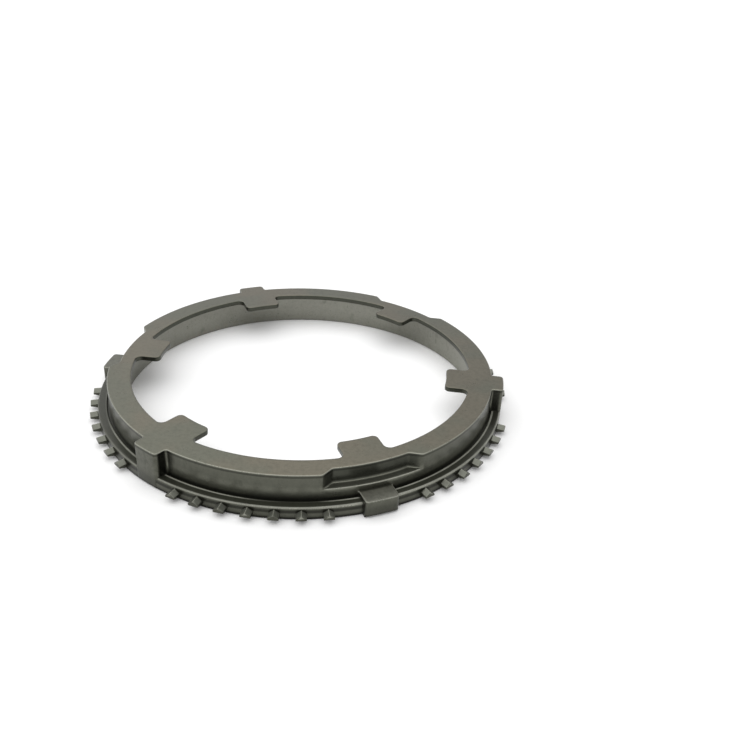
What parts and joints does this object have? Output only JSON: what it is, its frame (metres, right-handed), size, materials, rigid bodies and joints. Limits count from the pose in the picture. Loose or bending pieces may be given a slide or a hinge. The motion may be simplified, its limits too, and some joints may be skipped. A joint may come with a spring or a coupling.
{
  "type": "synchronizer ring",
  "caption": "Steel gearbox synchronizer ring with an inner friction cone, inward drive tabs, index lugs, wall pockets over low blocks and a flange of roof-pointed blocking teeth.",
  "frame": {"origin": "centre of the toothed end, on the ring's axis", "axes": "+Z along the ring's axis from the toothed end to the flat top face, +X through the middle of one index lug"},
  "size_m": [0.1305, 0.1316, 0.0116],
  "materials": {
    "steel": "dark grey forged steel, bead blasted and oiled, with bright worn edges and a fine turned friction cone"
  },
  "bodies": {
    "root": {"synchronizer_ring": "steel"}
  },
  "joints": []
}
